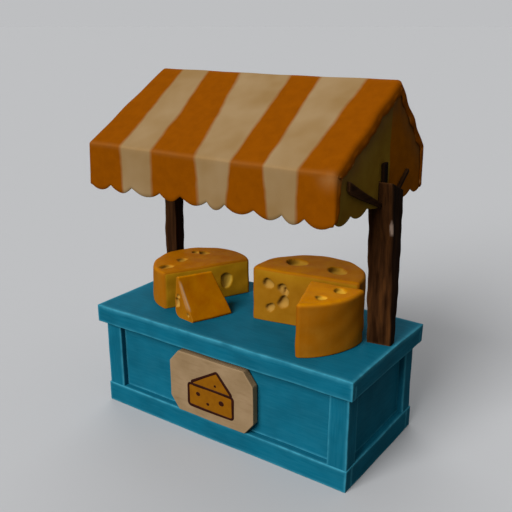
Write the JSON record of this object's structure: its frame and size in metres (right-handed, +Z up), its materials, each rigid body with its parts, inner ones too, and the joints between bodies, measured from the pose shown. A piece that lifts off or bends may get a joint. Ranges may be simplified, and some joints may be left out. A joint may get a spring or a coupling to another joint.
{
  "type": "wooden market stall",
  "caption": "Wooden market stall with a panelled counter, posts carrying a striped canvas gable roof with scalloped valances, a sign board and cut cheeses on display.",
  "frame": {"origin": "on the ground under the middle of the stall", "axes": "+X along the counter to the customers' right, -Y towards the customers, +Z up"},
  "size_m": [2, 1.14, 2.316],
  "materials": {
    "painted_timber": "teal oil paint, satin",
    "sign_timber": "bare pale wood",
    "dark_timber": "dark stain, satin",
    "canvas": "orange and cream stripes, matt",
    "cheese": "waxy yellow"
  },
  "bodies": {
    "root": {"worktop": "painted_timber", "fascia_front": "painted_timber", "fascia_back": "painted_timber", "fascia_left": "painted_timber", "fascia_right": "painted_timber", "corner_post_front_left": "painted_timber", "corner_post_front_right": "painted_timber", "corner_post_back_left": "painted_timber", "corner_post_back_right": "painted_timber", "panel_front": "painted_timber", "panel_back": "painted_timber", "panel_left": "painted_timber", "panel_right": "painted_timber", "plinth_front": "painted_timber", "plinth_back": "painted_timber", "plinth_left": "painted_timber", "plinth_right": "painted_timber", "sign_board": "sign_timber", "post_left": "dark_timber", "post_right": "dark_timber", "tie_beam_left": "dark_timber", "tie_beam_right": "dark_timber", "rafter_front_left": "dark_timber", "rafter_front_right": "dark_timber", "rafter_rear_left": "dark_timber", "rafter_rear_right": "dark_timber", "ridge_beam": "dark_timber", "eave_rail_front": "dark_timber", "eave_rail_rear": "dark_timber", "post_stub_left": "dark_timber", "post_stub_right": "dark_timber", "brace_front_left": "dark_timber", "brace_front_right": "dark_timber", "brace_rear_left": "dark_timber", "brace_rear_right": "dark_timber", "canopy_slope_front": "canvas", "canopy_slope_rear": "canvas", "valance_front": "canvas", "valance_rear": "canvas", "gable_canvas_left": "canvas", "gable_canvas_right": "canvas", "cheese_half_wheel": "cheese", "cheese_wedge": "cheese", "cheese_wheel_rear": "cheese", "cheese_wheel_quarter": "cheese"}
  },
  "joints": []
}
